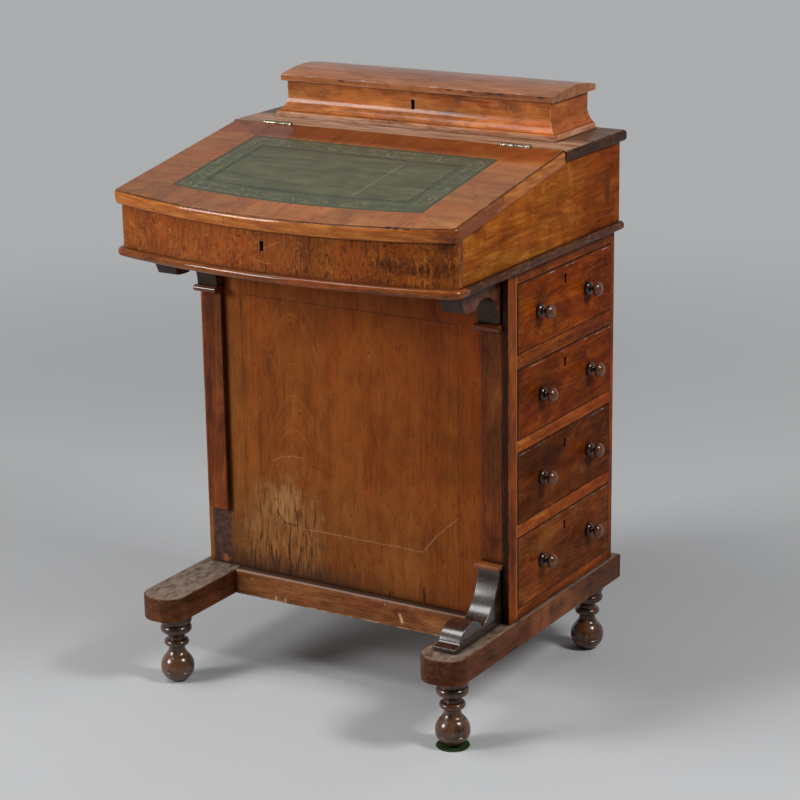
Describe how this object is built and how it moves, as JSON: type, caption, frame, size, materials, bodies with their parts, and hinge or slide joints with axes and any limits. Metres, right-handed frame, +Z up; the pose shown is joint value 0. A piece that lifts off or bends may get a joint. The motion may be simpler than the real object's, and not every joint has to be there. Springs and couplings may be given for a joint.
{
  "type": "davenport desk",
  "caption": "Small bow-fronted writing desk with a hinged sloping leather-lined fall over a pedestal of side drawers, a lidded stationery till, brackets and turned feet.",
  "frame": {"origin": "on the floor under the middle of the desk's outer box", "axes": "+Z up, -Y towards the sitter at the bowed front, +X towards the side with the drawers"},
  "size_m": [0.562, 0.5179, 0.8453],
  "materials": {
    "case_wood": "aged French polish, orange brown, straight grain",
    "burr_wood": "aged French polish over flecked veneer",
    "drawer_wood": "aged French polish, dark red brown",
    "dark_wood": "dark stained and polished, worn at the edges",
    "fall_wood": "faded French polish, orange brown",
    "till_wood": "aged French polish, orange brown",
    "inner_wood": "bare dry softwood",
    "leather": "olive green skiver with faded tooled bands",
    "brass": "dull old brass",
    "lock_metal": "dull old iron",
    "felt": "dark green felt"
  },
  "bodies": {
    "carcase": {"back_panel": "case_wood", "bead_front": "dark_wood", "bead_sides": "dark_wood", "carcase_bottom": "inner_wood", "carcase_top": "inner_wood", "corbel_capitals": "dark_wood", "corbel_left": "dark_wood", "corbel_right": "dark_wood", "deck_board": "dark_wood", "desk_back": "case_wood", "desk_bottom": "inner_wood", "desk_front": "burr_wood", "desk_side_left": "case_wood", "desk_side_right": "case_wood", "drawer_rails": "case_wood", "drawer_runners": "inner_wood", "drawer_stiles": "case_wood", "dummy_fronts": "drawer_wood", "dummy_knobs": "drawer_wood", "fall_hinge_fixed": "brass", "fall_lock": "lock_metal", "feet": "dark_wood", "felt_pad": "felt", "foot_front_right": "dark_wood", "front_frame": "case_wood", "front_panel": "case_wood", "pilasters": "dark_wood", "plinth_rails": "dark_wood", "runner_left": "dark_wood", "runner_right": "dark_wood", "scroll_bracket": "dark_wood", "scroll_cap": "dark_wood", "side_panel_left": "case_wood", "till_back": "till_wood", "till_front": "till_wood", "till_hinge_fixed": "brass", "till_lock": "lock_metal", "till_sides": "till_wood"},
    "fall": {"fall_board": "fall_wood", "fall_hinge_moving": "brass", "fall_leather": "leather"},
    "till_lid": {"till_hinge_moving": "brass", "till_lid": "till_wood"},
    "drawer_1": {"drawer_1_box": "inner_wood", "drawer_1_front": "drawer_wood", "drawer_1_knobs": "drawer_wood", "drawer_1_lock": "lock_metal"},
    "drawer_2": {"drawer_2_box": "inner_wood", "drawer_2_front": "drawer_wood", "drawer_2_knobs": "drawer_wood", "drawer_2_lock": "lock_metal"},
    "drawer_3": {"drawer_3_box": "inner_wood", "drawer_3_front": "drawer_wood", "drawer_3_knobs": "drawer_wood", "drawer_3_lock": "lock_metal"},
    "drawer_4": {"drawer_4_box": "inner_wood", "drawer_4_front": "drawer_wood", "drawer_4_knobs": "drawer_wood", "drawer_4_lock": "lock_metal"}
  },
  "joints": [
    {"name": "fall_hinge", "type": "hinge", "parent": "carcase", "child": "fall", "pos_m": [0, 0.067, 0.777], "axis": [-1, 0, 0], "range_deg": [0, 120]},
    {"name": "till_lid_hinge", "type": "hinge", "parent": "carcase", "child": "till_lid", "pos_m": [0, 0.2392, 0.8289], "axis": [-1, 0, 0], "range_deg": [0, 100]},
    {"name": "drawer_1_slide", "type": "slide", "parent": "carcase", "child": "drawer_1", "axis": [1, 0, 0], "range_m": [0, 0.33]},
    {"name": "drawer_2_slide", "type": "slide", "parent": "carcase", "child": "drawer_2", "axis": [1, 0, 0], "range_m": [0, 0.33]},
    {"name": "drawer_3_slide", "type": "slide", "parent": "carcase", "child": "drawer_3", "axis": [1, 0, 0], "range_m": [0, 0.33]},
    {"name": "drawer_4_slide", "type": "slide", "parent": "carcase", "child": "drawer_4", "axis": [1, 0, 0], "range_m": [0, 0.33]}
  ]
}
